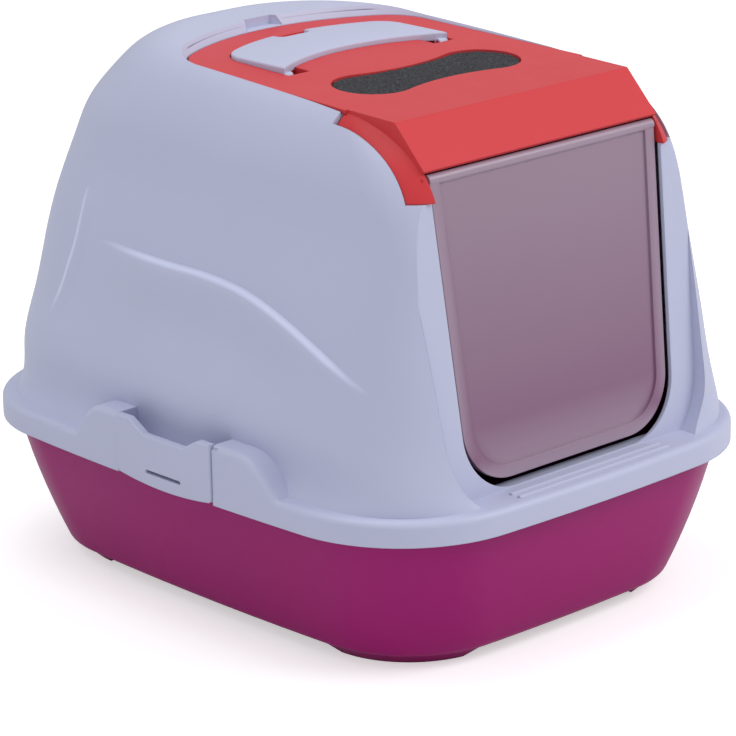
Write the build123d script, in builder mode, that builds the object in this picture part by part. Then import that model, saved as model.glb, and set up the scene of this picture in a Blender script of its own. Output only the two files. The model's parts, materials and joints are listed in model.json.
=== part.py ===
"""Covered litter box: a tray with a clip-on hood, a flip-up roof lid with a swing door and a carry handle.

Millimetres. The origin lies on the floor under the middle of the box, +Z is up and the doorway faces -Y.
"""
import os
from math import atan2, cos, degrees, hypot, radians, sin, sqrt, tan

from build123d import *

# Plan size of the skirt that runs round the box
skirt_width = 400.0
skirt_length = 500.0
skirt_corner = 102.0
skirt_round = 5.0
side_bow = 2500.0
end_bow = 2000.0

# Heights above the floor, and drops from the roof and from the lid
skirt_bottom = 108.0
ledge_height = 126.0
roof_height = 394.0
roof_rise = 77.0
lid_sink = 7.0
ear_drop = 54.0
roof_tilt = 1.7
shoulder_height = roof_height - roof_rise
lid_height = roof_height - lid_sink
ear_bottom = lid_height - ear_drop

# Wall thicknesses and clearances
wall = 3.0
side_gap = 1.3
rear_gap = 1.4
ear_gap = 1.6
rest_gap = 0.3
pin_clearance = 0.05
rim_top = ledge_height - wall

# Hood walls: half sizes at the ledge, at the shoulder, and how far the roof rolls in from there
ledge_width = 10.0
back_ledge_width = 12.0
side_lean = 41.0
back_lean = 8.0
front_lean = 35.0
back_rise = 173.0
front_rise = 69.0
hood_side = skirt_width / 2 - ledge_width
hood_side_shoulder = hood_side - side_lean
hood_side_roll = 54.0
hood_back = skirt_length / 2 - back_ledge_width
hood_back_shoulder = hood_back - back_lean
hood_back_shoulder_height = roof_height - back_rise
hood_back_roll = 97.0
hood_front = skirt_length / 2 - ledge_width
hood_front_shoulder = hood_front - front_lean
hood_front_shoulder_height = roof_height - front_rise
hood_front_roll = 60.0
hood_front_corner = 89.0
hood_front_corner_shoulder = 35.0
hood_front_corner_roof = 70.0
hood_back_corner = 84.0
hood_back_corner_top = 120.0

# Tray
tray_side_inset = 12.0
tray_end_inset = 9.0
tray_side = skirt_width / 2 - tray_side_inset
tray_end = skirt_length / 2 - tray_end_inset
tray_corner = 84.0
tray_floor = 12.0
tray_flare = 0.154
tray_curve = 0.0009
tray_base_round = 9.0
tray_base = 9.0
tray_rim = 4.0
tray_rim_inset = 5.6
foot_inset = 2.0
foot_undercut = 13.0
foot_inner_x = 76.0
foot_inner_y = 118.0
foot_ramp = 40.0

# Lid plan
lid_thickness = 3.0
lid_rear = 97.0
lid_rear_radius = 190.0
lid_rear_corner = 38.0
lid_side_rear = 110.0
lid_side_front = 116.0
lid_seat = 8.0
lid_well_depth = 10.0
lip_angle = 35.0
visor_half_width = 112.0
visor_inset = 16.0
visor_slope_length = 28.0
visor_drop = 34.0
visor_bottom_y = visor_inset - hood_front_shoulder
visor_top_y = visor_bottom_y + visor_slope_length
visor_bottom_z = lid_height - visor_drop
ear_length = 49.0
lid_step_y = visor_top_y + ear_length
cheek = 3.5
ear_rim_top = 124.6
ear_rim_drop = 11.0
ear_rim_top_z = lid_height - ear_rim_drop
ear_rim_lean = 0.12

# Doorway and swing door
door_pivot_inset = 2.0
door_pivot_drop = 7.0
door_pivot_y = visor_bottom_y + door_pivot_inset
door_pivot_z = visor_bottom_z - door_pivot_drop
door_lean = 6.9
door_half_top = 110.0
door_half_bottom = 99.5
door_bottom_gap = 6.0
door_drop = (door_pivot_z - ledge_height - door_bottom_gap) / cos(radians(door_lean))
door_corner = 42.0
door_thickness = 3.0
door_rim = 9.0
door_rim_rise = 1.6
door_barrel = 4.0
door_side_gap = 3.0
surround_band = 27.0
surround_rise = 6.0
pivot_pin = 2.0
pivot_pin_reach = 12.0
sill_reach = 32.0
sill_half_width = 102.0
sill_ridge = 1.6

# Lid hinge
hinge_y = 40.0
hinge_drop = 7.0
hinge_barrel = 3.2
hinge_pin = 1.6
lid_knuckle = (lid_side_rear - 18, lid_side_rear - 8.5)
hood_knuckle = (lid_side_rear - 7.5, lid_side_rear + 2.5)

# Carry handle
handle_recess = 2.0
handle_half_width = 80.0
handle_rear = 72.0
handle_rear_radius = 150.0
handle_front_centre = 10.0
handle_rear_corner = 25.0
handle_end_y = -13.0
handle_front_rise = 4.5
handle_edge = 1.5
handle_boss = 3.5
handle_pivot_y = -11.0
handle_pivot_drop = 3.0
handle_barrel_length = 8.0
handle_pivot_inner = handle_half_width - handle_barrel_length
handle_barrel = 3.2
handle_pin = 1.8
pocket_length = 18.0
pocket_inner = handle_half_width - pocket_length
pocket_gap = 0.8
finger_notch = 30.0
finger_notch_depth = 9.0
scoop_half_width = 18.0
scoop_reach = 10.0

# Carbon filter and its holder
filter_half_length = 82.0
filter_setback = 37.0
filter_y = lid_step_y + filter_setback
filter_lobe = 29.0
filter_waist = 21.0
filter_thickness = 7.0
filter_sink = 1.5
filter_lap = 3.0
holder_wall = 2.0
holder_slot = 5.0
holder_slots = 13

# Side clips
clip_rear = 40.0
clip_front = -62.0
clip_top = 152.0
clip_dip = 143.0
clip_bottom = 105.5
clip_bottom_end = 109.5
clip_horn = 14.0
clip_ramp = 16.0
clip_round = 6.0
clip_foot_round = 4.0
clip_edge = 1.2
clip_thickness = 6.0
clip_proud = 1.0
clip_slot_length = 38.0
clip_slot_height = 116.5
clip_slot = 2.6
clip_pin = 1.2
clip_pin_depth = 5.0
clip_pin_inset = 3.7
clip_pin_drop = 2.8
clip_end_gap = 0.6
clip_back_gap = 1.8
hump_tuck = 6.5
hump_rear = 110.0
hump_front = -146.0
hump_rear_top = 58.0
hump_front_top = -84.0
hump_end_wall = 10.0


def bowed_outline(half_width, front, back, front_corner, back_corner, inset=0.0):
    """Closed outline of bowed sides and ends, joined by corner arcs that are tangent to them."""
    side_radius = side_bow - inset
    end_radius = end_bow - inset
    side_centre = half_width - inset - side_radius

    def corner(reach, radius):
        end_centre = reach - inset - end_radius
        to_side = side_radius - radius
        to_end = end_radius - radius
        apart = hypot(side_centre, end_centre)
        along = (to_side**2 - to_end**2 + apart**2) / (2 * apart)
        across = sqrt(to_side**2 - along**2)
        x = side_centre - side_centre / apart * along - end_centre / apart * across
        y = end_centre / apart * along - side_centre / apart * across
        leaves_side = degrees(atan2(y, x - side_centre))
        meets_end = degrees(atan2(y - end_centre, x))
        return x, y, leaves_side, meets_end, end_centre

    back_radius = back_corner - inset
    front_radius = front_corner - inset
    back_x, back_y, back_leaves, back_meets, back_centre = corner(back, back_radius)
    front_x, front_y, front_leaves, front_meets, front_centre = corner(front, front_radius)
    with BuildSketch() as outline:
        with BuildLine():
            CenterArc((side_centre, 0), side_radius, -front_leaves, front_leaves + back_leaves)
            CenterArc((back_x, back_y), back_radius, back_leaves, back_meets - back_leaves)
            CenterArc((0, back_centre), end_radius, back_meets, 180 - 2 * back_meets)
            CenterArc((-back_x, back_y), back_radius, 180 - back_meets, back_meets - back_leaves)
            CenterArc((-side_centre, 0), side_radius, 180 - back_leaves, back_leaves + front_leaves)
            CenterArc((-front_x, -front_y), front_radius, 180 + front_leaves, front_meets - front_leaves)
            CenterArc((0, -front_centre), end_radius, 180 + front_meets, 180 - 2 * front_meets)
            CenterArc((front_x, -front_y), front_radius, -front_meets, front_meets - front_leaves)
        make_face()
    return outline.sketch


def rolled(z, base, shoulder, start, roll):
    """Half size of the hood at height z: a straight lean up to the shoulder, then an elliptical roll."""
    leaned = base + (shoulder - base) * (min(z, start) - ledge_height) / (start - ledge_height)
    share = min(max((z - start) / (roof_height - start), 0), 1)
    return leaned - roll * (1 - sqrt(1 - share**2))


def hood_form(side_inset, end_inset, drop):
    """Solid dome of the hood, drawn in at the sides, at the ends and from the top."""
    climb = shoulder_height - ledge_height
    straight = [rim_top - rest_gap] + [ledge_height + climb * step / 5 for step in range(1, 5)]
    curved = [shoulder_height + roof_rise * sin(radians(turn)) for turn in (0, 20, 40, 55, 68, 79, 90)]
    with BuildPart() as form:
        for z in straight + curved:
            share = (z - ledge_height) / (roof_height - ledge_height)
            half = rolled(z, hood_side, hood_side_shoulder, shoulder_height, hood_side_roll)
            back = rolled(z, hood_back, hood_back_shoulder, hood_back_shoulder_height, hood_back_roll)
            front = rolled(z, hood_front, hood_front_shoulder, hood_front_shoulder_height, hood_front_roll)
            narrowing = min(max((z - ledge_height) / climb, 0), 1)
            widening = max((z - shoulder_height) / roof_rise, 0)
            front_corner = hood_front_corner + (hood_front_corner_shoulder - hood_front_corner) * narrowing
            front_corner += (hood_front_corner_roof - hood_front_corner_shoulder) * widening
            back_corner = hood_back_corner + (hood_back_corner_top - hood_back_corner) * share
            back_corner = min(back_corner, 0.85 * half)
            lean = radians(roof_tilt * max(share, 0))
            section = Plane(origin=(0, 0, z - drop), x_dir=(1, 0, 0), z_dir=(0, -sin(lean), cos(lean)))
            with BuildSketch(section):
                add(bowed_outline(half - side_inset, front - end_inset, back - end_inset,
                                  front_corner - side_inset / 2, back_corner - side_inset / 2))
        loft()
    return form.part


def skirt_outline(inset):
    """Outline of the skirt, drawn in by an inset."""
    return bowed_outline(skirt_width / 2, skirt_length / 2, skirt_length / 2,
                         skirt_corner, skirt_corner, inset)


# Planes that the lid and the door are drawn on
lid_slope = tan(radians(roof_tilt))
lid_plane = Plane(origin=(0, 0, lid_height), x_dir=(1, 0, 0),
                  z_dir=(0, -sin(radians(roof_tilt)), cos(radians(roof_tilt))))
door_plane = Plane(origin=(0, door_pivot_y, door_pivot_z), x_dir=(1, 0, 0),
                   z_dir=(0, -cos(radians(door_lean)), sin(radians(door_lean))))


def lid_top(y):
    """Height of the lid's upper face at a place along the box."""
    return lid_height + lid_slope * y


def lid_outline(grow, rear_grow, front_grow=0.0):
    """Plan of the lid behind its ears: straight sides, a bowed rear edge and rounded rear corners."""
    half = lid_side_rear + grow
    front_half = lid_side_front + grow
    rear = lid_rear + rear_grow
    corner_y = rear - lid_rear_radius + sqrt(lid_rear_radius**2 - half**2)
    front_y = lid_step_y - front_grow
    with BuildSketch() as outline:
        with BuildLine():
            ThreePointArc((half, corner_y), (0, rear), (-half, corner_y))
            Polyline((-half, corner_y), (-front_half, front_y), (front_half, front_y), (half, corner_y))
        make_face()
        fillet(outline.vertices().group_by(Axis.Y)[-1], radius=lid_rear_corner + grow)
    return outline.sketch


def ear_space(gap, bottom):
    """Front view of the space between the hood's two side rims, where the lid's front part lies."""
    top = roof_height + wall
    low_half = ear_rim_top + ear_rim_lean * (ear_rim_top_z - bottom) - gap
    high_half = ear_rim_top + ear_rim_lean * (ear_rim_top_z - top) - gap
    with BuildSketch() as space:
        with BuildLine():
            Polyline((-low_half, bottom), (low_half, bottom), (high_half, top), (-high_half, top), close=True)
        make_face()
    return space.sketch


def door_outline(side_grow, bottom_grow):
    """Door panel on its own plane: slightly tapered sides and large lower corners."""
    top_half = door_half_top + side_grow
    bottom_half = door_half_bottom + side_grow
    bottom = -door_drop - bottom_grow
    with BuildSketch() as outline:
        with BuildLine():
            Polyline((-top_half, 0), (-bottom_half, bottom), (bottom_half, bottom), (top_half, 0), close=True)
        make_face()
        fillet(outline.vertices().group_by(Axis.Y)[0], radius=door_corner + side_grow)
    return outline.sketch


def handle_outline(grow):
    """Kidney-shaped plan of the carry handle: both long edges bow towards the rear."""
    half = handle_half_width + grow
    rear = handle_rear + grow
    corner_y = rear - handle_rear_radius + sqrt(handle_rear_radius**2 - half**2)
    end_y = handle_end_y - grow
    with BuildSketch() as outline:
        with BuildLine():
            ThreePointArc((half, corner_y), (0, rear), (-half, corner_y))
            Line((-half, corner_y), (-half, end_y))
            ThreePointArc((-half, end_y), (0, handle_front_centre - grow), (half, end_y))
            Line((half, end_y), (half, corner_y))
        make_face()
        fillet(outline.vertices().group_by(Axis.Y)[-1], radius=handle_rear_corner)
    return outline.sketch


def scoop_outline(grow):
    """Plan of the finger scoop in the roof behind the lid."""
    half = scoop_half_width + grow
    reach = lid_rear + scoop_reach + grow
    with BuildSketch() as outline:
        with BuildLine():
            Polyline((-half, lid_rear), (-half + scoop_reach / 2, reach), (half - scoop_reach / 2, reach),
                     (half, lid_rear), close=True)
        make_face()
    return outline.sketch


def filter_outline(grow):
    """Waisted oblong of the filter: two round lobes joined by hollow tangent arcs."""
    lobe = filter_lobe + grow
    lobe_x = filter_half_length - filter_lobe
    hollow = (lobe_x**2 + filter_waist**2 - filter_lobe**2) / (2 * (filter_lobe - filter_waist))
    centre_y = filter_waist + hollow
    turn = degrees(atan2(centre_y, -lobe_x))
    with BuildSketch() as outline:
        with BuildLine():
            CenterArc((lobe_x, filter_y), lobe, -turn, 2 * turn)
            CenterArc((0, filter_y + centre_y), hollow - grow, turn - 180, 180 - 2 * turn)
            CenterArc((-lobe_x, filter_y), lobe, 180 - turn, 2 * turn)
            CenterArc((0, filter_y - centre_y), hollow - grow, turn, 180 - 2 * turn)
        make_face()
    return outline.sketch


def clip_outline():
    """Side view of a clip: a dip for the fingers in its upper edge and a bowed lower edge."""
    with BuildSketch() as outline:
        with BuildLine():
            Polyline((clip_front, clip_bottom_end), (clip_front, clip_top), (clip_front + clip_horn, clip_top),
                     (clip_front + clip_horn + clip_ramp, clip_dip),
                     (clip_rear - clip_horn - clip_ramp, clip_dip),
                     (clip_rear - clip_horn, clip_top), (clip_rear, clip_top), (clip_rear, clip_bottom_end))
            ThreePointArc((clip_rear, clip_bottom_end), ((clip_rear + clip_front) / 2, clip_bottom),
                          (clip_front, clip_bottom_end))
        make_face()
        top_corners = outline.vertices().group_by(Axis.Y)[-1].sort_by(Axis.X)
        dip_corners = outline.vertices().group_by(Axis.Y)[-2]
        fillet(top_corners[1:3] + dip_corners, radius=clip_round)
        fillet(outline.vertices().group_by(Axis.Y)[0], radius=clip_foot_round)
    return outline.sketch


def hump_outline(drop, rear, front):
    """Side view of the raised stretch of skirt beside a clip, between two places along the box."""
    top = clip_top - drop
    foot = ledge_height - hump_tuck - drop
    with BuildSketch() as outline:
        with BuildLine():
            Spline((hump_front, foot), (hump_front_top, top), tangents=[(1, 0), (1, 0)])
            Line((hump_front_top, top), (hump_rear_top, top))
            Spline((hump_rear_top, top), (hump_rear, foot), tangents=[(1, 0), (1, 0)])
            Polyline((hump_rear, foot), (hump_rear, skirt_bottom),
                     (hump_front, skirt_bottom), (hump_front, foot))
        make_face()
        if rear < hump_rear:
            with Locations(((rear + front) / 2, (clip_top + skirt_bottom) / 2)):
                Rectangle(rear - front, clip_top, mode=Mode.SUBTRACT)
    return outline.sketch


def tray_section(z, inset):
    """Outline of the tray at a height: flared walls that bow outwards."""
    depth = ledge_height - wall - z
    drawn_in = tray_flare * depth + tray_curve * depth**2
    return bowed_outline(tray_side - drawn_in, tray_end - drawn_in, tray_end - drawn_in,
                         tray_corner, tray_corner, inset)


def tray_form(bottom, top, inset):
    """Solid bowl of the tray between two heights."""
    with BuildPart() as form:
        for step in range(5):
            z = bottom + (top - bottom) * step / 4
            with BuildSketch(Plane.XY.offset(z)):
                add(tray_section(z, inset))
        loft()
    return form.part


# Tray: a bowl with a rim that carries the hood, a catch for each clip and moulded corner feet
clip_middle = (clip_rear + clip_front) / 2
clip_inner = skirt_width / 2 + clip_proud - clip_thickness

with BuildPart() as tray_feet:
    with BuildSketch():
        add(tray_section(tray_base, foot_inset + foot_undercut))
    with BuildSketch(Plane.XY.offset(tray_floor)):
        add(tray_section(tray_base, foot_inset))
    loft()
    with BuildSketch(Plane.XY.offset(tray_floor)):
        with GridLocations(2 * foot_inner_x + skirt_width, 2 * foot_inner_y + skirt_length, 2, 2):
            Rectangle(skirt_width, skirt_length)
    extrude(amount=-tray_floor, taper=foot_ramp, mode=Mode.INTERSECT)

with BuildPart() as base_tray:
    add(tray_form(tray_base, rim_top, 0))
    fillet(base_tray.edges().group_by(Axis.Z)[0], radius=tray_base_round)
    with BuildSketch(Plane.XY.offset(rim_top - tray_rim)):
        add(skirt_outline(tray_rim_inset))
    extrude(amount=tray_rim)
    with BuildSketch(Plane.XY.offset(clip_slot_height - clip_slot / 2 + rest_gap)):
        with Locations((0, clip_middle)):
            Rectangle(2 * (clip_inner - rest_gap), clip_slot_length - 2)
    extrude(amount=clip_slot - 2 * rest_gap)
    add(tray_form(tray_floor, rim_top + 1, wall), mode=Mode.SUBTRACT)
    add(tray_feet.part)

# Hood: a domed shell on a stepped skirt
outer_form = hood_form(0, 0, 0)
inner_form = hood_form(wall, wall, wall)

with BuildPart() as skirt:
    with BuildSketch(Plane.XY.offset(skirt_bottom)):
        add(skirt_outline(0))
    extrude(amount=ledge_height - skirt_bottom)
    fillet(skirt.edges().group_by(Axis.Z)[-1], radius=skirt_round)

with BuildPart() as humps:
    with BuildSketch(Plane.YZ.offset(-skirt_width)):
        add(hump_outline(0, clip_rear + clip_end_gap, clip_front - clip_end_gap))
    extrude(amount=2 * skirt_width)
    with BuildSketch(Plane.XY.offset(skirt_bottom)):
        add(skirt_outline(0))
    extrude(amount=clip_top, mode=Mode.INTERSECT)
    raised_edges = humps.edges().filter_by(lambda edge: edge.bounding_box().min.Z > skirt_bottom + skirt_round)
    fillet(raised_edges.filter_by(lambda edge: edge.bounding_box().size.Y > skirt_round), radius=skirt_round)

with BuildPart() as skirt_hollow:
    with BuildSketch(Plane.YZ.offset(-skirt_width)):
        add(hump_outline(wall, clip_rear + hump_end_wall, clip_front - hump_end_wall))
    extrude(amount=2 * skirt_width)
    with BuildSketch(Plane.XY.offset(skirt_bottom - 1)):
        add(skirt_outline(wall))
    extrude(amount=clip_top, mode=Mode.INTERSECT)
    with BuildSketch(Plane.XY.offset(skirt_bottom - 1)):
        add(skirt_outline(wall))
    extrude(amount=rim_top - skirt_bottom + 1)

with BuildPart() as surround:
    with BuildSketch(door_plane.offset(surround_rise - wall)):
        add(door_outline(surround_band + wall, surround_band + wall))
    extrude(amount=skirt_length / 4)
    add(outer_form, mode=Mode.INTERSECT)
    split(bisect_by=Plane.XY.offset(rim_top), keep=Keep.TOP)

with BuildPart() as doorway:
    with BuildSketch(door_plane.offset(surround_rise)):
        add(door_outline(surround_band, surround_band))
    extrude(amount=skirt_length / 4)
    with BuildSketch(door_plane.offset(-surround_band)):
        add(door_outline(door_side_gap, door_bottom_gap))
    extrude(amount=skirt_length / 4)
    split(bisect_by=Plane.XY.offset(ledge_height), keep=Keep.TOP)

seat_top = -lid_thickness - rest_gap
with BuildPart() as lid_well:
    with BuildSketch(lid_plane.offset(-lid_well_depth)):
        add(lid_outline(side_gap + wall, rear_gap + wall))
    extrude(amount=lid_sink + 5 * wall)
    with BuildSketch(lid_plane.offset(rest_gap - wall)):
        add(scoop_outline(wall))
    extrude(amount=lid_well_depth)
    add(outer_form, mode=Mode.INTERSECT)

hinge_z = lid_top(hinge_y) - hinge_drop
clip_pin_x = skirt_width / 2 + clip_proud - clip_pin_inset
clip_pin_z = clip_top - clip_pin_drop
handle_pivot_z = lid_top(handle_pivot_y) - handle_pivot_drop
handle_sweep = handle_front_rise + handle_pivot_drop + pocket_gap
handle_pin_reach = handle_boss + 5 * pocket_gap
boss_inner = pocket_inner - pocket_gap - handle_boss
boss_outer = handle_half_width + handle_pin_reach + handle_boss
with BuildPart() as hood:
    add(outer_form)
    add(skirt.part)
    add(humps.part)
    add(inner_form, mode=Mode.SUBTRACT)
    add(skirt_hollow.part, mode=Mode.SUBTRACT)
    add(surround.part)
    with BuildSketch(Plane.XY.offset(rim_top)):
        with Locations((0, -hood_front + sill_reach / 2)):
            Rectangle(2 * sill_half_width, sill_reach)
    extrude(amount=wall)
    add(doorway.part, mode=Mode.SUBTRACT)
    with BuildSketch(Plane.YZ.offset(-sill_half_width + surround_band)):
        with Locations((-hood_front + sill_ridge, ledge_height), (-hood_front + 6 * sill_ridge, ledge_height)):
            Circle(sill_ridge)
    extrude(amount=2 * (sill_half_width - surround_band))
    add(lid_well.part)
    with BuildSketch(lid_plane.offset(seat_top)):
        add(lid_outline(side_gap, rear_gap, wall))
    extrude(amount=-seat_top, mode=Mode.SUBTRACT)
    with BuildSketch(lid_plane):
        add(lid_outline(side_gap, rear_gap, wall))
    extrude(amount=lid_sink + 5 * wall, taper=-lip_angle, mode=Mode.SUBTRACT)
    with BuildSketch(lid_plane.offset(-2 * lid_well_depth)):
        add(lid_outline(-lid_seat, -lid_seat, 2 * lid_seat))
        with BuildSketch(mode=Mode.ADD):
            add(lid_outline(side_gap, rear_gap))
            with Locations((0, hinge_y - skirt_length)):
                Rectangle(2 * skirt_width, 2 * skirt_length, mode=Mode.SUBTRACT)
    extrude(amount=2 * lid_well_depth, mode=Mode.SUBTRACT)
    with BuildSketch(Plane.XZ.offset(-lid_step_y)):
        add(ear_space(0, ear_bottom - rest_gap))
    extrude(amount=skirt_length, mode=Mode.SUBTRACT)
    with BuildSketch(lid_plane.offset(rest_gap)):
        add(scoop_outline(0))
    extrude(amount=lid_well_depth, mode=Mode.SUBTRACT)
    for side in (-1, 1):
        with BuildSketch(Plane.YZ.offset(side * hood_knuckle[0])):
            with Locations((hinge_y, hinge_z)):
                Circle(hinge_barrel)
        extrude(amount=side * (hood_knuckle[1] - hood_knuckle[0]))
        with BuildSketch(Plane.YZ.offset(side * lid_knuckle[0])):
            with Locations((hinge_y, hinge_z)):
                Circle(hinge_pin)
        extrude(amount=side * (hood_knuckle[1] - lid_knuckle[0]), mode=Mode.SUBTRACT)
        with BuildSketch(Plane.YZ.offset(side * (clip_inner - clip_back_gap))):
            with Locations((clip_middle, clip_top)):
                Rectangle(clip_rear - clip_front + 2 * clip_end_gap, 2 * (clip_top - skirt_bottom + wall))
        extrude(amount=side * skirt_width / 4, mode=Mode.SUBTRACT)
        with BuildSketch(Plane.XZ.offset(-clip_rear - clip_end_gap - clip_pin_depth)):
            with Locations((side * clip_pin_x, clip_pin_z)):
                Circle(clip_pin)
        extrude(amount=clip_rear - clip_front + 2 * (clip_end_gap + clip_pin_depth), mode=Mode.SUBTRACT)

# Flip lid: a flat roof plate with a sloping visor between two ears that carry on the hood's front corners
lid_form = hood_form(wall + side_gap, 0, 0)
ear_form = hood_form(2 * wall + side_gap, wall, wall)

with BuildPart() as ear_hollow:
    add(ear_form)
    with BuildSketch(Plane.XZ.offset(-lid_step_y - wall)):
        add(ear_space(0, ear_bottom - wall))
        with Locations((0, roof_height)):
            Rectangle(2 * (visor_half_width + cheek), roof_height, mode=Mode.SUBTRACT)
    extrude(amount=skirt_length, mode=Mode.INTERSECT)
    split(bisect_by=lid_plane.offset(-lid_thickness), keep=Keep.BOTTOM)

with BuildPart() as flip_lid:
    add(lid_form)
    with BuildSketch(Plane.XZ.offset(side_gap - lid_step_y)):
        add(ear_space(ear_gap, ear_bottom))
        with Locations((0, roof_height)):
            Rectangle(2 * visor_half_width, roof_height, mode=Mode.SUBTRACT)
    extrude(amount=skirt_length, mode=Mode.INTERSECT)
    split(bisect_by=lid_plane, keep=Keep.BOTTOM)
    add(ear_hollow.part, mode=Mode.SUBTRACT)
    with BuildSketch(lid_plane):
        add(lid_outline(0, 0, wall))
        with Locations((0, (lid_step_y - side_gap + visor_top_y) / 2)):
            Rectangle(2 * (visor_half_width + cheek / 2), lid_step_y - side_gap - visor_top_y)
    extrude(amount=-lid_thickness)
    with BuildSketch(Plane.YZ.offset(-visor_half_width - cheek / 2)):
        with BuildLine():
            visor_face = Line((visor_top_y, lid_top(visor_top_y)), (visor_bottom_y, visor_bottom_z))
            back_step = Vector(visor_face % 0).rotate(Axis.Z, 90) * lid_thickness
            Polyline(visor_face @ 1, visor_face @ 1 + back_step, visor_face @ 0 + back_step,
                     (visor_top_y + lid_thickness, lid_top(visor_top_y)), visor_face @ 0)
        make_face()
    extrude(amount=2 * visor_half_width + cheek)
    with BuildSketch(lid_plane.offset(-lid_thickness)):
        add(handle_outline(handle_boss))
    extrude(amount=-handle_recess)
    for side in (-1, 1):
        with BuildSketch(Plane.YZ.offset(side * visor_half_width)):
            with BuildLine():
                Polyline((lid_step_y - side_gap, lid_top(lid_step_y)), (visor_top_y, lid_top(visor_top_y)),
                         (visor_bottom_y, visor_bottom_z),
                         (lid_step_y - side_gap, lid_height - 3 * lid_thickness), close=True)
            make_face()
        extrude(amount=side * cheek / 2)
        with BuildSketch(lid_plane.offset(-lid_thickness)):
            with Locations((side * (boss_inner + boss_outer) / 2, handle_pivot_y)):
                Rectangle(boss_outer - boss_inner, 2 * (handle_sweep + handle_boss))
        extrude(amount=-handle_pivot_drop - handle_sweep)
        with BuildSketch(Plane.YZ.offset(side * lid_knuckle[0])):
            with Locations((hinge_y, hinge_z)):
                Circle(hinge_barrel)
            with Locations((hinge_y, hinge_z + hinge_drop / 2 - lid_thickness / 2)):
                Rectangle(2 * hinge_barrel, hinge_drop - lid_thickness)
            with Locations((hinge_y, hinge_z)):
                Circle(hinge_pin + pin_clearance, mode=Mode.SUBTRACT)
        extrude(amount=side * (lid_knuckle[1] - lid_knuckle[0]))
        with BuildSketch(Plane.YZ.offset(side * visor_half_width)):
            with Locations((door_pivot_y, door_pivot_z)):
                Circle(pivot_pin)
        extrude(amount=side * cheek, mode=Mode.SUBTRACT)
    with BuildSketch(lid_plane.offset(-handle_recess)):
        add(handle_outline(pocket_gap))
    extrude(amount=handle_recess, mode=Mode.SUBTRACT)
    for side in (-1, 1):
        with BuildSketch(lid_plane):
            with Locations((side * (pocket_inner + handle_half_width) / 2, handle_pivot_y)):
                Rectangle(pocket_length + 2 * pocket_gap, 2 * handle_sweep)
        extrude(amount=-handle_pivot_drop - handle_sweep, mode=Mode.SUBTRACT)
        with BuildSketch(Plane.YZ.offset(side * handle_half_width)):
            with Locations((handle_pivot_y, handle_pivot_z)):
                Circle(handle_pin)
        extrude(amount=side * handle_pin_reach, mode=Mode.SUBTRACT)
    with BuildSketch(lid_plane):
        add(filter_outline(0))
    extrude(amount=-lid_thickness, mode=Mode.SUBTRACT)

# Swing door: a clear panel with a raised rim, hung from a barrel along its top edge
with BuildPart() as swing_door:
    with BuildSketch(door_plane.offset(-door_thickness / 2)):
        add(door_outline(0, 0))
    extrude(amount=door_thickness)
    with BuildSketch(door_plane.offset(door_thickness / 2)):
        add(door_outline(0, 0))
        add(door_outline(-door_rim, -door_rim), mode=Mode.SUBTRACT)
    extrude(amount=door_rim_rise)
    with BuildSketch(Plane.YZ.offset(-door_half_top)):
        with Locations((door_pivot_y, door_pivot_z)):
            Circle(door_barrel)
    extrude(amount=2 * door_half_top)
    for side in (-1, 1):
        with BuildSketch(Plane.YZ.offset(side * door_half_top)):
            with Locations((door_pivot_y, door_pivot_z)):
                Circle(pivot_pin + pin_clearance)
        extrude(amount=-side * (pivot_pin_reach + rest_gap), mode=Mode.SUBTRACT)

# Carry handle: a kidney-shaped plate with a finger notch, on a barrel at each front end
with BuildPart() as carry_handle:
    with BuildSketch(lid_plane.offset(rest_gap - handle_recess)):
        add(handle_outline(0))
        with Locations((0, handle_rear)):
            RectangleRounded(finger_notch, 2 * finger_notch_depth, 0.6 * finger_notch_depth,
                             mode=Mode.SUBTRACT)
    extrude(amount=2 * handle_front_rise)
    split(bisect_by=Plane.XY.offset(lid_top(handle_end_y) + handle_front_rise), keep=Keep.BOTTOM)
    fillet(carry_handle.faces().sort_by(Axis.Z)[-1].edges(), radius=handle_edge)
    for side in (-1, 1):
        with BuildSketch(Plane.YZ.offset(side * handle_pivot_inner)):
            with Locations((handle_pivot_y, handle_pivot_z)):
                Circle(handle_barrel)
        extrude(amount=side * (handle_half_width - handle_pivot_inner))
        with BuildSketch(Plane.YZ.offset(side * handle_pivot_inner)):
            with Locations((handle_pivot_y, handle_pivot_z)):
                Circle(handle_pin + pin_clearance)
        extrude(amount=side * (handle_half_width - handle_pivot_inner), mode=Mode.SUBTRACT)

# Carbon filter pad and the slotted holder that keeps it under the lid
with BuildPart() as carbon_filter:
    with BuildSketch(lid_plane.offset(seat_top)):
        add(filter_outline(filter_lap))
    extrude(amount=-filter_thickness)
    with BuildSketch(lid_plane.offset(seat_top)):
        add(filter_outline(-side_gap))
    extrude(amount=-seat_top - filter_sink)

with BuildPart() as filter_holder:
    with BuildSketch(lid_plane.offset(-lid_thickness)):
        add(filter_outline(filter_lap + rest_gap + holder_wall))
    extrude(amount=-filter_thickness - 2 * rest_gap - holder_wall)
    with BuildSketch(lid_plane.offset(-lid_thickness)):
        add(filter_outline(filter_lap + rest_gap))
    extrude(amount=-filter_thickness - 2 * rest_gap, mode=Mode.SUBTRACT)
    with BuildSketch(lid_plane.offset(-lid_thickness)):
        with Locations((0, filter_y)):
            with GridLocations(holder_slot * 2, 0, holder_slots, 1):
                SlotOverall(2 * filter_waist, holder_slot, rotation=90)
    extrude(amount=-2 * filter_thickness, mode=Mode.SUBTRACT)


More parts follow.
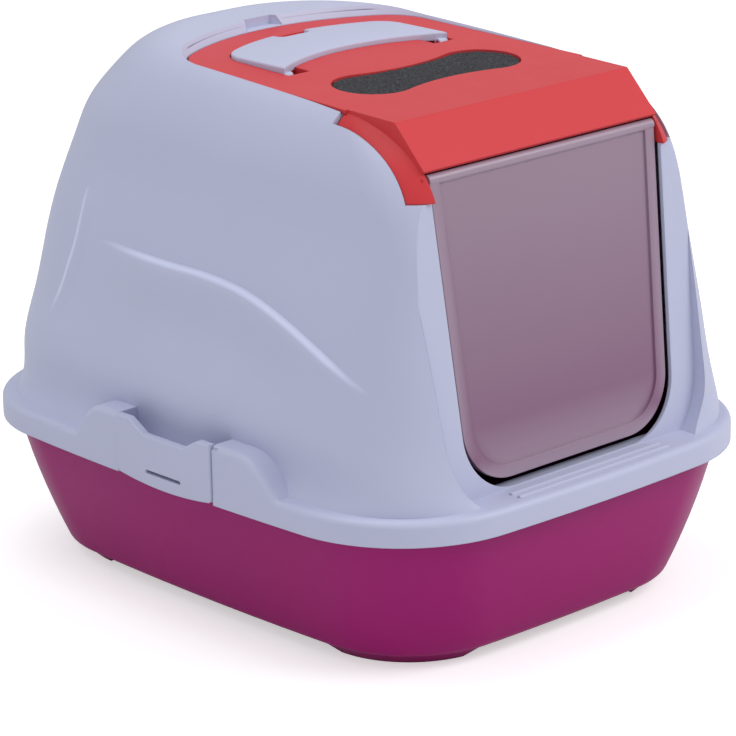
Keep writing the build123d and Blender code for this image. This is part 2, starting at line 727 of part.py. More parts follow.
def side_clip(side):
    """Clip on one side of the hood: a plate with a finger dip, a slot for the tray's catch and pin holes."""
    with BuildPart() as clip:
        with BuildSketch(Plane.YZ.offset(side * clip_inner)):
            add(clip_outline())
            with Locations((clip_middle, clip_slot_height)):
                SlotOverall(clip_slot_length, clip_slot, mode=Mode.SUBTRACT)
        extrude(amount=side * clip_thickness)
        fillet(clip.faces().sort_by(Axis.X)[0 if side < 0 else -1].outer_wire().edges(), radius=clip_edge)
        for start in (clip_rear, clip_front + clip_pin_depth):
            with BuildSketch(Plane.XZ.offset(-start)):
                with Locations((side * clip_pin_x, clip_pin_z)):
                    Circle(clip_pin + pin_clearance)
            extrude(amount=clip_pin_depth, mode=Mode.SUBTRACT)
    return clip.part


def pin_along_x(start, end, y, z, radius):
    """Round hinge pin between two places across the box."""
    with BuildPart() as pin:
        with BuildSketch(Plane.YZ.offset(start)):
            with Locations((y, z)):
                Circle(radius)
        extrude(amount=end - start)
    return pin.part


def pin_along_y(start, end, x, z, radius):
    """Round hinge pin between two places along the box."""
    with BuildPart() as pin:
        with BuildSketch(Plane.XZ.offset(-start)):
            with Locations((x, z)):
                Circle(radius)
        extrude(amount=start - end)
    return pin.part


pieces = {
    "base_tray": base_tray.part,
    "hood": hood.part,
    "flip_lid": flip_lid.part,
    "swing_door": swing_door.part,
    "carry_handle": carry_handle.part,
    "carbon_filter": carbon_filter.part,
    "filter_holder": filter_holder.part,
}
for side, name in ((-1, "left"), (1, "right")):
    pieces[f"{name}_clip"] = side_clip(side)
    pieces[f"{name}_lid_hinge_pin"] = pin_along_x(side * (lid_knuckle[0] + rest_gap), side * hood_knuckle[1],
                                                  hinge_y, hinge_z, hinge_pin)
    pieces[f"{name}_door_pin"] = pin_along_x(side * (door_half_top - pivot_pin_reach),
                                             side * (visor_half_width + cheek),
                                             door_pivot_y, door_pivot_z, pivot_pin)
    pieces[f"{name}_handle_pin"] = pin_along_x(side * (handle_pivot_inner + rest_gap),
                                               side * (handle_half_width + handle_pin_reach),
                                               handle_pivot_y, handle_pivot_z, handle_pin)
    pin_x = side * clip_pin_x
    pieces[f"{name}_clip_rear_pin"] = pin_along_y(clip_rear + clip_end_gap + clip_pin_depth,
                                                  clip_rear - clip_pin_depth + rest_gap,
                                                  pin_x, clip_pin_z, clip_pin)
    pieces[f"{name}_clip_front_pin"] = pin_along_y(clip_front + clip_pin_depth - rest_gap,
                                                   clip_front - clip_end_gap - clip_pin_depth,
                                                   pin_x, clip_pin_z, clip_pin)

os.makedirs("parts", exist_ok=True)
for name, piece in pieces.items():
    piece.label = name
    export_step(piece, f"parts/{name}.step")
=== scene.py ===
"""Looks of a covered litter box: moulded plastic shells, a smoked door and a foam filter."""
import json
import math

import bmesh
import bpy
from bpy.props import FloatProperty, FloatVectorProperty, IntProperty, PointerProperty
from mathutils import Euler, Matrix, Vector
from mathutils.bvhtree import BVHTree

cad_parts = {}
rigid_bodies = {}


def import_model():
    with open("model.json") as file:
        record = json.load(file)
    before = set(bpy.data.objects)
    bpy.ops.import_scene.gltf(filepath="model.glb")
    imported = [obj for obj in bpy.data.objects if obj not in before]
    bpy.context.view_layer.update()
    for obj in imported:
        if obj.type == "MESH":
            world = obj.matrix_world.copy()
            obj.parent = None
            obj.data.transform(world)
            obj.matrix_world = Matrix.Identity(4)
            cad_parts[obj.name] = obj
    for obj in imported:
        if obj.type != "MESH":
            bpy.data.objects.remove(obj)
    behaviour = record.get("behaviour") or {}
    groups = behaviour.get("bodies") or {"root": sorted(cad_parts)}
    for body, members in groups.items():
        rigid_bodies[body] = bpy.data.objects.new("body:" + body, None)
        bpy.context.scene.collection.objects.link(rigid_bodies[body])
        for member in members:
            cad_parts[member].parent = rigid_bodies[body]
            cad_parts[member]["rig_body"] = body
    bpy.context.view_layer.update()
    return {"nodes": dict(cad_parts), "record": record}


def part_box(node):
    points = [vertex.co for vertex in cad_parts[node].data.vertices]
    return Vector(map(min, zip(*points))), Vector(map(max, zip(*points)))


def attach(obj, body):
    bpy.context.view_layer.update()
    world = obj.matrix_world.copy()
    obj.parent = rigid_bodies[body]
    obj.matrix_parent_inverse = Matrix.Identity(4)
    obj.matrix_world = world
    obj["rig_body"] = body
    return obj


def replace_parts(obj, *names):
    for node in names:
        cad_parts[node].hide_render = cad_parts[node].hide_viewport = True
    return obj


bl_info = {
    "name": "Covered Litter Box",
    "version": (1, 0, 0),
    "blender": (4, 5, 0),
    "location": "View3D > Sidebar > Litter Box",
    "description": "Dresses the packed litter box with moulded plastic, a smoked door and a foam filter",
    "category": "Object",
}

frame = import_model()

# Camera of the photograph, in metres and degrees
CAMERA_PLACE = (-1.68615, -1.82964, 0.94366)
CAMERA_YAW = 42.792
CAMERA_PITCH = 17.724
CAMERA_ROLL = -0.965
CAMERA_LENS = 172.7
CAMERA_SENSOR = 36
CAMERA_SIGHT = 100

# Edge of the raised panel on the hood's side and the crease behind it, as places along the box and heights
PANEL_EDGE = ((0.104, 0.2605), (0.062, 0.2585), (0.02, 0.2578), (-0.02, 0.2577), (-0.058, 0.2540),
              (-0.092, 0.2450), (-0.126, 0.2322), (-0.158, 0.2185), (-0.186, 0.2065))
REAR_CREASE = ((0.152, 0.196), (0.142, 0.215), (0.136, 0.233), (0.1305, 0.2506), (0.1275, 0.267),
               (0.1255, 0.283), (0.124, 0.296))
PANEL_REACH = 0.0022
CREASE_REACH = 0.0025
EDGE_STATIONS = 90
EDGE_STEPS = (-1, -0.6, -0.25, 0, 0.3, 0.7, 1.2)
EDGE_FADE_STEPS = 9
EDGE_END_SHARE = 0.2
EDGE_SINK = 0.00003
# Painted highlight along the raised edges: its width as a share of the step's reach, and how much paler it
# paints the colour
PAINTED_HIGHLIGHT_WIDTH = 1.3
PAINTED_HIGHLIGHT_TINT = 1.35
OUTSIDE = 0.4

# Clean-up of the copied meshes: distance of points that are one, and length of a sliver's edge
WELD = 2e-6
SLIVER = 1e-6

# Paler rim of the door: a painted highlight on its thick rounded edge, where the panel is also more opaque
RIM_WIDTH = 0.004
RIM_FADE = 0.014

# Foam: longest edge of its mesh, extent of its swell, and the turn and the sizes of its grains
FOAM_EDGE = 0.006
FOAM_PASSES = 3
CROWN_ACROSS = 0.9
CROWN_ALONG = 0.34
GRAIN_UPWARD = 0.8
GRAIN_TURN = 6.28
GRAIN_LEAST = (0.5, 0.5, 0.3)
GRAIN_MOST = (1.4, 1.4, 0.8)

# Studio: lamps with place, target, size, power and colour, then the floor and the surroundings
LAMPS = (
    ("key", (1.6, -2.2, 2.4), (0, 0, 0.15), 2.2, 46, (1.0, 0.985, 0.97)),
    ("fill", (-2.6, -0.6, 1.8), (0, 0, 0.2), 2.4, 6, (0.92, 0.94, 1.0)),
    ("top", (-0.7, 0.4, 3.0), (0, 0, 0.3), 2.0, 22, (1.0, 1.0, 1.0)),
)
FLOOR_SIZE = 40
FLOOR_GREY = (0.83, 0.83, 0.835, 1)
FLOOR_PALE = (0.845, 0.845, 0.845, 1)
FLOOR_GLOW = 0.5
WORLD_COLOUR = (0.95, 0.97, 1.0, 1)
WORLD_LIGHT = 0.52


def colour_setting(name, description, default):
    """Colour that a user may change."""
    return FloatVectorProperty(name=name, description=description, subtype="COLOR", size=3, min=0, max=1,
                               default=default)


def length_setting(name, description, default):
    """Length that a user may change, in metres."""
    return FloatProperty(name=name, description=description, default=default, min=0, unit="LENGTH")


class ShellSettings(bpy.types.PropertyGroup):
    """Colours and edges of the moulded shells."""

    hood_colour: colour_setting("Hood colour", "Colour of the hood, handle and clips", (0.555, 0.575, 0.755))
    tray_colour: colour_setting("Tray colour", "Colour of the tray", (0.36, 0.005, 0.16))
    lid_colour: colour_setting("Lid colour", "Colour of the flip lid", (0.67, 0.048, 0.056))
    edge_round: length_setting("Edge round", "Radius that softens moulded edges", 0.0011)
    panel_rise: length_setting("Panel rise", "Height of the raised panel on the hood's side", 0.0045)
    panel_fade: length_setting("Panel fade", "Width over which the raised panel fades out", 0.046)
    crease_rise: length_setting("Crease rise", "Height of the crease behind the panel", 0.0013)
    crease_fade: length_setting("Crease fade", "Width over which the crease fades out", 0.016)


class DoorSettings(bpy.types.PropertyGroup):
    """Look of the smoked door."""

    colour: colour_setting("Door colour", "Tint of the smoked panel", (0.285, 0.167, 0.255))
    # The rim's paler tint is a painted highlight on the door's thick rounded edge
    rim_highlight_colour: colour_setting("Rim colour", "Tint of the door's thick rim", (0.4, 0.29, 0.38))
    alpha: FloatProperty(name="Alpha", description="How much the panel hides", default=0.93, min=0, max=1)


class FoamSettings(bpy.types.PropertyGroup):
    """Look of the filter's foam."""

    # The foam's colour also stands for the painted shade at the pores' middles
    colour: colour_setting("Foam colour", "Colour of the foam", (0.024, 0.024, 0.029))
    grain_colour: colour_setting("Grain colour", "Colour of the carbon grains", (0.08, 0.08, 0.09))
    crown: length_setting("Crown", "How far the foam swells at its middle", 0.0012)
    grain: length_setting("Grain", "Radius of a carbon grain", 0.0008)
    density: FloatProperty(name="Density", description="Grains on a square metre", default=170000, min=0)
    seed: IntProperty(name="Seed", description="Seed of the grains' places", default=7)


class Value:
    """Shader socket that takes part in Python sums."""

    def __init__(self, finish, socket):
        self.finish = finish
        self.socket = socket

    def maths(self, operation, first, second):
        return self.finish.node("ShaderNodeMath", {"operation": operation}, {0: first, 1: second})

    def __add__(self, other):
        return self.maths("ADD", self, other)

    __radd__ = __add__

    def __sub__(self, other):
        return self.maths("SUBTRACT", self, other)

    def __mul__(self, other):
        return self.maths("MULTIPLY", self, other)

    __rmul__ = __mul__


class Finish:
    """Node material under construction."""

    def __init__(self, name):
        self.material = bpy.data.materials.new(name)
        self.material.use_nodes = True
        self.nodes = self.material.node_tree.nodes
        self.links = self.material.node_tree.links
        self.shader = self.nodes["Principled BSDF"]
        self.place = self.node("ShaderNodeTexCoord", {}, {}, "Object")

    def node(self, kind, settings, sockets, output=0):
        """Adds a node, sets it up, feeds its sockets and gives one of its outputs."""
        made = self.nodes.new(kind)
        for name, value in settings.items():
            setattr(made, name, value)
        for name, value in sockets.items():
            self.feed(made.inputs[name], value)
        return Value(self, made.outputs[output])

    def feed(self, socket, value):
        if isinstance(value, Value):
            self.links.new(value.socket, socket)
        else:
            socket.default_value = value

    def shade(self, **sockets):
        """Feeds the main shader's sockets, named with underscores for spaces."""
        for name, value in sockets.items():
            self.feed(self.shader.inputs[name.replace("_", " ").title().replace("Ior", "IOR")], value)
        return self.material

    def noise(self, scale, detail=2.0, roughness=0.5):
        return self.node("ShaderNodeTexNoise", {}, {"Vector": self.place, "Scale": scale, "Detail": detail,
                                                   "Roughness": roughness}, "Fac")

    def mixed(self, share, first, second):
        """Colour between two colours."""
        return self.node("ShaderNodeMix", {"data_type": "RGBA"}, {0: share, 6: first, 7: second}, 2)

    def bumped(self, height, strength, distance, edge):
        """Normal with a fine relief on softened edges."""
        rounded = self.node("ShaderNodeBevel", {"samples": 6}, {"Radius": edge})
        return self.node("ShaderNodeBump", {}, {"Strength": strength, "Distance": distance, "Height": height,
                                               "Normal": rounded})


def tinted(colour, factor):
    """Opaque colour, scaled."""
    return (*[min(1, channel * factor) for channel in colour], 1)


def moulded_plastic(name, colour, roughness, grain, coat, edge):
    """Moulded plastic: faint flow marks, a painted highlight as a paler tint along raised edges, a fine grain
    and an uneven sheen.
    """
    finish = Finish(name)
    flow = finish.noise(7, 3)
    fine = finish.noise(1500, 2)
    smudge = finish.noise(24, 4, 0.6)
    # Painted highlight: a paler tint where the raised edges on the hood's sides would catch light
    painted_highlight = finish.node("ShaderNodeAttribute", {"attribute_name": "painted_highlight"}, {}, "Fac")
    plain = finish.mixed(flow, tinted(colour, 0.965), tinted(colour, 1.035))
    return finish.shade(base_color=finish.mixed(painted_highlight, plain, tinted(colour, PAINTED_HIGHLIGHT_TINT)),
                        roughness=roughness - 0.05 + 0.1 * smudge, coat_weight=coat, coat_roughness=0.14,
                        specular_ior_level=0.22, normal=finish.bumped(fine, grain, 0.0002, edge))


def smoked_plastic(name, colour, rim_highlight_colour, alpha, edge):
    """Frosted smoked plastic: cloudy streaks, darker towards the bottom, a more opaque thick rim with a
    painted highlight as its paler tint, and a soft gloss.
    """
    finish = Finish(name)
    low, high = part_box("swing_door")
    height = finish.node("ShaderNodeSeparateXYZ", {}, {0: finish.place}, "Z")
    rise = finish.node("ShaderNodeMapRange", {}, {0: height, 1: low.z, 2: high.z})
    streaks = finish.node("ShaderNodeMapping", {}, {"Vector": finish.place, "Scale": (9, 9, 1.6)})
    cloud = finish.node("ShaderNodeTexNoise", {}, {"Vector": streaks, "Scale": 1.0, "Detail": 3.0}, "Fac")
    deep = (colour[0] * 0.95, colour[1] * 0.76, colour[2] * 0.9)
    clouded = finish.mixed(cloud, tinted(colour, 0.94), tinted(colour, 1.06))
    panel = finish.mixed(rise, tinted(deep, 1), clouded)
    # Rim mask: paints the paler highlight tint on the thick rounded edge and makes the rim more opaque
    rim = finish.node("ShaderNodeAttribute", {"attribute_name": "rim"}, {}, "Fac")
    fine = finish.noise(1100, 2)
    return finish.shade(base_color=finish.mixed(rim, panel, tinted(rim_highlight_colour, 1)),
                        roughness=0.3 + 0.08 * cloud, alpha=alpha + 0.06 * rim - 0.03 * rise,
                        coat_weight=0.2, coat_roughness=0.2,
                        normal=finish.bumped(fine, 0.05, 0.0002, edge))


def carbon_foam(name, colour, grain_colour):
    """Open foam: painted shade darkening the pores, with paler threads between them."""
    finish = Finish(name)
    pores = finish.node("ShaderNodeTexVoronoi", {"feature": "F1"}, {"Vector": finish.place, "Scale": 520.0},
                        "Distance")
    patch = finish.noise(160, 4, 0.7)
    bump = finish.node("ShaderNodeBump", {}, {"Strength": 0.8, "Distance": 0.0009, "Height": pores})
    # Painted shade: darkest at the pores' middles, paler on the threads between them
    threads = finish.mixed(pores * patch * 1.6, tinted(colour, 1), tinted(grain_colour, 1))
    return finish.shade(base_color=threads, roughness=0.86 + 0.1 * patch, specular_ior_level=0.25,
                        normal=bump)


def carbon_grain(name, colour):
    """Crushed carbon: dull facets of uneven grey."""
    finish = Finish(name)
    tone = finish.noise(900, 2)
    return finish.shade(base_color=finish.mixed(tone, tinted(colour, 0.25), tinted(colour, 1.5)),
                        roughness=0.55 + 0.2 * tone)


def settings():
    return bpy.context.scene.litter_shells, bpy.context.scene.litter_door, bpy.context.scene.litter_foam


def material(name, maker, *values):
    """Material by name, made the first time it is asked for."""
    return bpy.data.materials.get(name) or maker(name, *values)


def moulding(name, colour, roughness, grain, coat):
    """Moulded plastic of a shell, with the shells' softened edges."""
    return material(name, moulded_plastic, colour, roughness, grain, coat, settings()[0].edge_round)


def hood_plastic():
    return moulding("hood_moulding", settings()[0].hood_colour, roughness=0.42, grain=0.04, coat=0.12)


def tray_plastic():
    return moulding("tray_moulding", settings()[0].tray_colour, roughness=0.34, grain=0.03, coat=0.06)


def lid_plastic():
    return moulding("lid_moulding", settings()[0].lid_colour, roughness=0.42, grain=0.03, coat=0.03)


def add_piece(name, mesh, body, finish):
    """Links a mesh as a piece of the object that moves with a body."""
    piece = bpy.data.objects.new(name, mesh)
    bpy.context.scene.collection.objects.link(piece)
    mesh.materials.clear()
    mesh.materials.append(finish)
    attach(piece, body)
    return piece


def body_of(node):
    return frame["nodes"][node]["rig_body"]


def skin(node, finish, sharp=32.0):
    """Smooth-shaded copy of a CAD node that stands for it."""
    mesh = frame["nodes"][node].data.copy()
    if "custom_normal" in mesh.attributes:
        mesh.attributes.remove(mesh.attributes["custom_normal"])
    form = bmesh.new()
    form.from_mesh(mesh)
    bmesh.ops.remove_doubles(form, verts=form.verts, dist=WELD)
    bmesh.ops.dissolve_degenerate(form, edges=form.edges, dist=SLIVER)
    form.to_mesh(mesh)
    form.free()
    mesh.shade_smooth()
    mesh.set_sharp_from_angle(angle=math.radians(sharp))
    piece = add_piece(f"{node}_skin", mesh, body_of(node), finish)
    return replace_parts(piece, node)


def through_points(points, count):
    """Places on a smooth line through the given points, evenly counted."""
    places = []
    spans = len(points) - 1
    for step in range(count):
        place = step / (count - 1) * spans
        index = min(int(place), spans - 1)
        share = place - index
        nearby = [min(max(index + shift, 0), spans) for shift in (-1, 0, 1, 2)]
        before, start, end, after = (Vector(points[near]) for near in nearby)
        places.append(0.5 * (2 * start + (end - before) * share
                             + (2 * before - 5 * start + 4 * end - after) * share**2
                             + (3 * start - before - 3 * end + after) * share**3))
    return places


def eased(share):
    """Smooth rise from 0 to 1."""
    share = min(max(share, 0), 1)
    return share * share * (3 - 2 * share)


def raised_edge(name, surface, path, rise, reach, fade, side):
    """Soft step on the hood's side: steep at the path, with a painted highlight there as a paler tint, and
    fading out on one side of it.
    """
    stations = through_points(path, EDGE_STATIONS)
    across = [reach * step for step in EDGE_STEPS]
    steep = across[-1]
    across += [steep + (fade - steep) * (step + 1) / EDGE_FADE_STEPS for step in range(EDGE_FADE_STEPS)]
    form = bmesh.new()
    rows = []
    painted_highlight_shares = []
    for index, station in enumerate(stations):
        ahead = stations[min(index + 1, len(stations) - 1)] - stations[max(index - 1, 0)]
        aside = Vector((-ahead.y, ahead.x)).normalized()
        share = index / (len(stations) - 1)
        height = rise * eased(share / EDGE_END_SHARE) * eased((1 - share) / EDGE_END_SHARE)
        row = []
        for offset in across:
            y, z = station + aside * offset
            hit, normal, _, _ = surface.ray_cast(Vector((side * OUTSIDE, y, z)), Vector((-side, 0, 0)))
            if hit is None:
                raise RuntimeError(f"{name} leaves the hood at {y:.3f}, {z:.3f}")
            faded = 1 - eased((offset - reach) / (fade - reach))
            lift = height * eased((offset + reach) / (2 * reach)) * faded
            row.append(form.verts.new(hit + normal * (lift - EDGE_SINK)))
            # Share of the painted highlight: strongest at the path, fading out across the step and at the
            # path's ends
            painted_highlight_shares.append(height / rise * max(0, 1 - abs(offset) / (PAINTED_HIGHLIGHT_WIDTH * reach)))
        rows.append(row)
    for first, second in zip(rows, rows[1:]):
        for a, b, c, d in zip(first, first[1:], second[1:], second):
            form.faces.new((a, b, c, d) if side < 0 else (d, c, b, a))
    mesh = bpy.data.meshes.new(name)
    form.to_mesh(mesh)
    form.free()
    mesh.shade_smooth()
    # Painted highlight along the step, which the hood's material paints as a paler tint
    painted_highlight = mesh.attributes.new("painted_highlight", "FLOAT", "POINT")
    for entry, share in zip(painted_highlight.data, painted_highlight_shares):
        entry.value = share
    return add_piece(name, mesh, "hood", hood_plastic())


class LITTER_OT_tray(bpy.types.Operator):
    """Dress the tray"""

    bl_idname = "litter.tray"
    bl_label = "Tray"

    def execute(self, context):
        skin("base_tray", tray_plastic())
        return {"FINISHED"}


class LITTER_OT_hood(bpy.types.Operator):
    """Dress the hood and raise the panel on its sides"""

    bl_idname = "litter.hood"
    bl_label = "Hood"

    def execute(self, context):
        shells = settings()[0]
        piece = skin("hood", hood_plastic())
        surface = BVHTree.FromObject(piece, context.evaluated_depsgraph_get())
        for side, name in ((-1, "left"), (1, "right")):
            raised_edge(f"{name}_panel_edge", surface, PANEL_EDGE, shells.panel_rise, PANEL_REACH,
                        shells.panel_fade, side)
            raised_edge(f"{name}_rear_crease", surface, REAR_CREASE, shells.crease_rise, CREASE_REACH,
                        shells.crease_fade, side)
        return {"FINISHED"}


class LITTER_OT_lid(bpy.types.Operator):
    """Dress the flip lid and the filter's holder"""

    bl_idname = "litter.lid"
    bl_label = "Lid"

    def execute(self, context):
        skin("flip_lid", lid_plastic())
        skin("filter_holder", lid_plastic())
        return {"FINISHED"}


class LITTER_OT_door(bpy.types.Operator):
    """Dress the swing door"""

    bl_idname = "litter.door"
    bl_label = "Door"

    def execute(self, context):
        shells, door, _ = settings()
        finish = material("door_panel", smoked_plastic, door.colour, door.rim_highlight_colour, door.alpha,
                          shells.edge_round)
        piece = skin("swing_door", finish)
        low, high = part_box("swing_door")
        rim = piece.data.attributes.new("rim", "FLOAT", "POINT")
        for vertex, value in zip(piece.data.vertices, rim.data):
            edge = min(high.x - abs(vertex.co.x), vertex.co.z - low.z)
            value.value = 1 - eased((edge - RIM_WIDTH) / RIM_FADE)
        return {"FINISHED"}


class LITTER_OT_handle(bpy.types.Operator):
    """Dress the carry handle"""

    bl_idname = "litter.handle"
    bl_label = "Handle"

    def execute(self, context):
        skin("carry_handle", hood_plastic())
        return {"FINISHED"}


class LITTER_OT_clips(bpy.types.Operator):
    """Dress both clips"""

    bl_idname = "litter.clips"
    bl_label = "Clips"

    def execute(self, context):
        for side in ("left", "right"):
            skin(f"{side}_clip", hood_plastic())
        return {"FINISHED"}


class LITTER_OT_pins(bpy.types.Operator):
    """Dress the hinge pins"""

    bl_idname = "litter.pins"
    bl_label = "Pins"

    def execute(self, context):
        slots = {entry["node"]: entry["material_slot"] for entry in frame["record"]["subparts"]}
        makers = {"hood_plastic": hood_plastic, "lid_plastic": lid_plastic}
        for node in frame["nodes"]:
            if node.endswith("_pin"):
                skin(node, makers[slots[node]]())
        return {"FINISHED"}


def grain_tree(foam, finish):
    """Geometry nodes that scatter carbon grains over the foam's upper face."""
    tree = bpy.data.node_groups.new("carbon_grains", "GeometryNodeTree")
    tree.interface.new_socket("Geometry", in_out="INPUT", socket_type="NodeSocketGeometry")
    tree.interface.new_socket("Geometry", in_out="OUTPUT", socket_type="NodeSocketGeometry")
    inputs = {}
    for name, kind, value in (("Density", "NodeSocketFloat", foam.density),
                              ("Grain", "NodeSocketFloat", foam.grain), ("Seed", "NodeSocketInt", foam.seed)):
        inputs[name] = tree.interface.new_socket(name, in_out="INPUT", socket_type=kind)
        inputs[name].default_value = value
    nodes = tree.nodes
    links = tree.links
    start = nodes.new("NodeGroupInput")
    end = nodes.new("NodeGroupOutput")
    normal = nodes.new("GeometryNodeInputNormal")
    split = nodes.new("ShaderNodeSeparateXYZ")
    links.new(normal.outputs[0], split.inputs[0])
    faces_up = nodes.new("FunctionNodeCompare")
    faces_up.operation = "GREATER_THAN"
    links.new(split.outputs["Z"], faces_up.inputs["A"])
    faces_up.inputs["B"].default_value = GRAIN_UPWARD
    scatter = nodes.new("GeometryNodeDistributePointsOnFaces")
    links.new(start.outputs["Geometry"], scatter.inputs["Mesh"])
    links.new(faces_up.outputs[0], scatter.inputs["Selection"])
    links.new(start.outputs["Density"], scatter.inputs["Density"])
    links.new(start.outputs["Seed"], scatter.inputs["Seed"])
    grain = nodes.new("GeometryNodeMeshIcoSphere")
    grain.inputs["Subdivisions"].default_value = 1
    links.new(start.outputs["Grain"], grain.inputs["Radius"])
    turn = nodes.new("FunctionNodeRandomValue")
    turn.data_type = "FLOAT_VECTOR"
    turn.inputs["Max"].default_value = (GRAIN_TURN, GRAIN_TURN, GRAIN_TURN)
    links.new(start.outputs["Seed"], turn.inputs["Seed"])
    size = nodes.new("FunctionNodeRandomValue")
    size.data_type = "FLOAT_VECTOR"
    size.inputs["Min"].default_value = GRAIN_LEAST
    size.inputs["Max"].default_value = GRAIN_MOST
    links.new(start.outputs["Seed"], size.inputs["Seed"])
    place = nodes.new("GeometryNodeInstanceOnPoints")
    links.new(scatter.outputs["Points"], place.inputs["Points"])
    links.new(grain.outputs["Mesh"], place.inputs["Instance"])
    links.new(turn.outputs["Value"], place.inputs["Rotation"])
    links.new(size.outputs["Value"], place.inputs["Scale"])
    real = nodes.new("GeometryNodeRealizeInstances")
    links.new(place.outputs["Instances"], real.inputs["Geometry"])
    paint = nodes.new("GeometryNodeSetMaterial")
    paint.inputs["Material"].default_value = finish
    links.new(real.outputs["Geometry"], paint.inputs["Geometry"])
    links.new(paint.outputs["Geometry"], end.inputs["Geometry"])
    return tree, inputs


class LITTER_OT_filter(bpy.types.Operator):
    """Make the foam filter and its carbon grains"""

    bl_idname = "litter.filter"
    bl_label = "Filter"

    def execute(self, context):
        foam = settings()[2]
        finish = material("foam_pad", carbon_foam, foam.colour, foam.grain_colour)
        piece = skin("carbon_filter", finish, 50)
        piece.name = "filter_pad"
        low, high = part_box("carbon_filter")
        middle = (low + high) / 2
        form = bmesh.new()
        form.from_mesh(piece.data)
        bmesh.ops.triangulate(form, faces=form.faces)
        for _ in range(FOAM_PASSES):
            long_edges = [edge for edge in form.edges if edge.calc_length() > FOAM_EDGE]
            bmesh.ops.subdivide_edges(form, edges=long_edges, cuts=1)
            bmesh.ops.triangulate(form, faces=form.faces)
        for vertex in form.verts:
            across = (vertex.co - middle) / ((high - low) / 2).length
            if vertex.co.z > middle.z:
                swell = 1 - (across.x / CROWN_ACROSS)**2 - (across.y / CROWN_ALONG)**2
                vertex.co.z += foam.crown * max(0, swell)
        form.to_mesh(piece.data)
        form.free()
        piece.data.shade_smooth()
        grains = bpy.data.objects.new("filter_grains", piece.data.copy())
        context.scene.collection.objects.link(grains)
        dust = material("carbon_grain", carbon_grain, foam.grain_colour)
        tree, inputs = grain_tree(foam, dust)
        scatter = grains.modifiers.new("Grains", "NODES")
        scatter.node_group = tree
        for name, value in (("Density", foam.density), ("Grain", foam.grain), ("Seed", foam.seed)):
            scatter[inputs[name].identifier] = value
        context.view_layer.update()
        mesh = bpy.data.meshes.new_from_object(grains.evaluated_get(context.evaluated_depsgraph_get()))
        bpy.data.objects.remove(grains)
        add_piece("filter_grains", mesh, body_of("carbon_filter"), dust)
        return {"FINISHED"}


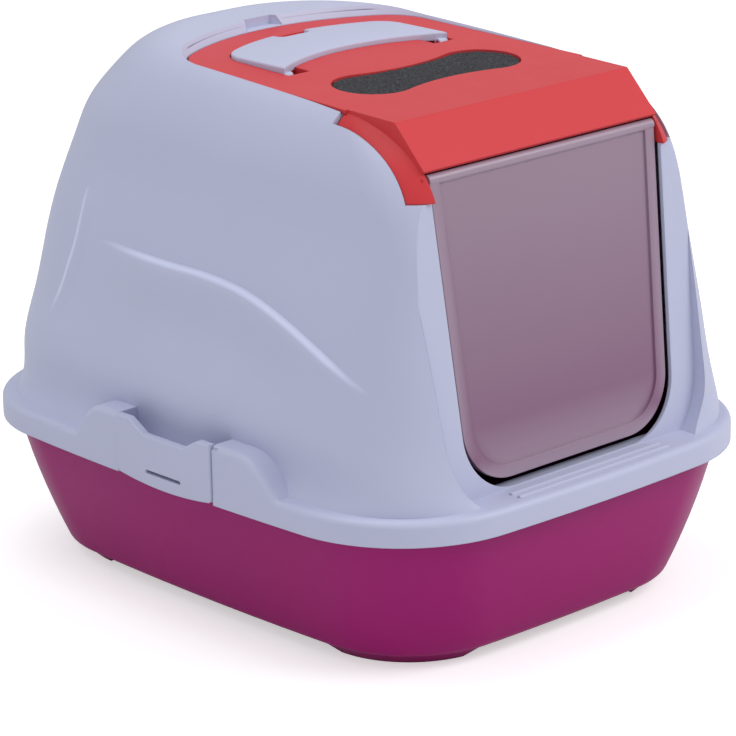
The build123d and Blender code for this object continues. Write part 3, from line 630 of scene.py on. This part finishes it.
class LITTER_OT_stage(bpy.types.Operator):
    """Make the floor, the studio light and the camera"""

    bl_idname = "litter.stage"
    bl_label = "Stage"

    def execute(self, context):
        scene = context.scene
        floor = bpy.data.objects.new("studio_floor", bpy.data.meshes.new("studio_floor"))
        form = bmesh.new()
        bmesh.ops.create_grid(form, x_segments=1, y_segments=1, size=FLOOR_SIZE)
        form.to_mesh(floor.data)
        form.free()
        finish = Finish("studio_floor")
        soft = finish.noise(3, 2)
        seen = finish.node("ShaderNodeLightPath", {}, {}, "Is Camera Ray")
        finish.shade(base_color=finish.mixed(soft, FLOOR_GREY, FLOOR_PALE), roughness=0.9,
                     specular_ior_level=0.1, emission_color=seen, emission_strength=FLOOR_GLOW)
        floor.data.materials.append(finish.material)
        scene.collection.objects.link(floor)
        self.make_world(scene)
        for lamp in LAMPS:
            self.add_lamp(*lamp)
        eye = bpy.data.cameras.new("photo_camera")
        eye.lens = CAMERA_LENS
        eye.sensor_width = CAMERA_SENSOR
        eye.clip_end = CAMERA_SIGHT
        camera = bpy.data.objects.new("photo_camera", eye)
        camera.location = CAMERA_PLACE
        turn = Euler((math.radians(90 - CAMERA_PITCH), 0, -math.radians(CAMERA_YAW))).to_matrix()
        roll = Euler((0, 0, math.radians(CAMERA_ROLL))).to_matrix()
        camera.rotation_euler = (turn @ roll).to_euler()
        scene.collection.objects.link(camera)
        scene.camera = camera
        scene.view_settings.view_transform = "Standard"
        return {"FINISHED"}

    def make_world(self, scene):
        """Even white surroundings: plain white to the camera and softer as a light."""
        world = bpy.data.worlds.new("studio")
        world.use_nodes = True
        nodes = world.node_tree.nodes
        links = world.node_tree.links
        path = nodes.new("ShaderNodeLightPath")
        seen = nodes.new("ShaderNodeMath")
        seen.operation = "MAXIMUM"
        links.new(path.outputs["Is Camera Ray"], seen.inputs[0])
        links.new(path.outputs["Is Transmission Ray"], seen.inputs[1])
        lit = nodes.new("ShaderNodeBackground")
        lit.inputs["Color"].default_value = WORLD_COLOUR
        lit.inputs["Strength"].default_value = WORLD_LIGHT
        shown = nodes.new("ShaderNodeBackground")
        shown.inputs["Color"].default_value = (1, 1, 1, 1)
        shown.inputs["Strength"].default_value = 1
        mix = nodes.new("ShaderNodeMixShader")
        links.new(seen.outputs[0], mix.inputs[0])
        links.new(lit.outputs[0], mix.inputs[1])
        links.new(shown.outputs[0], mix.inputs[2])
        links.new(mix.outputs[0], nodes["World Output"].inputs["Surface"])
        scene.world = world

    def add_lamp(self, name, place, target, size, power, colour):
        lamp = bpy.data.lights.new(name, "AREA")
        lamp.shape = "DISK"
        lamp.size = size
        lamp.energy = power
        lamp.color = colour
        holder = bpy.data.objects.new(name, lamp)
        holder.location = place
        holder.rotation_euler = (Vector(target) - Vector(place)).to_track_quat("-Z", "Y").to_euler()
        bpy.context.scene.collection.objects.link(holder)


class LITTER_PT_panel(bpy.types.Panel):
    """Settings and steps of the litter box"""

    bl_idname = "LITTER_PT_panel"
    bl_label = "Litter Box"
    bl_space_type = "VIEW_3D"
    bl_region_type = "UI"
    bl_category = "Litter Box"

    def draw(self, context):
        for group in settings():
            box = self.layout.box()
            for name in group.bl_rna.properties.keys():
                if name not in ("rna_type", "name"):
                    box.prop(group, name)
        for step in STEPS:
            self.layout.operator(step.bl_idname)


STEPS = (LITTER_OT_tray, LITTER_OT_hood, LITTER_OT_lid, LITTER_OT_door, LITTER_OT_handle, LITTER_OT_clips,
         LITTER_OT_pins, LITTER_OT_filter, LITTER_OT_stage)
CLASSES = (ShellSettings, DoorSettings, FoamSettings, *STEPS, LITTER_PT_panel)


def register():
    for made in CLASSES:
        bpy.utils.register_class(made)
    bpy.types.Scene.litter_shells = PointerProperty(type=ShellSettings)
    bpy.types.Scene.litter_door = PointerProperty(type=DoorSettings)
    bpy.types.Scene.litter_foam = PointerProperty(type=FoamSettings)


def unregister():
    del bpy.types.Scene.litter_foam
    del bpy.types.Scene.litter_door
    del bpy.types.Scene.litter_shells
    for made in reversed(CLASSES):
        bpy.utils.unregister_class(made)


def main():
    register()
    for step in STEPS:
        group, name = step.bl_idname.split(".")
        getattr(getattr(bpy.ops, group), name)()


if __name__ == "__main__":
    main()
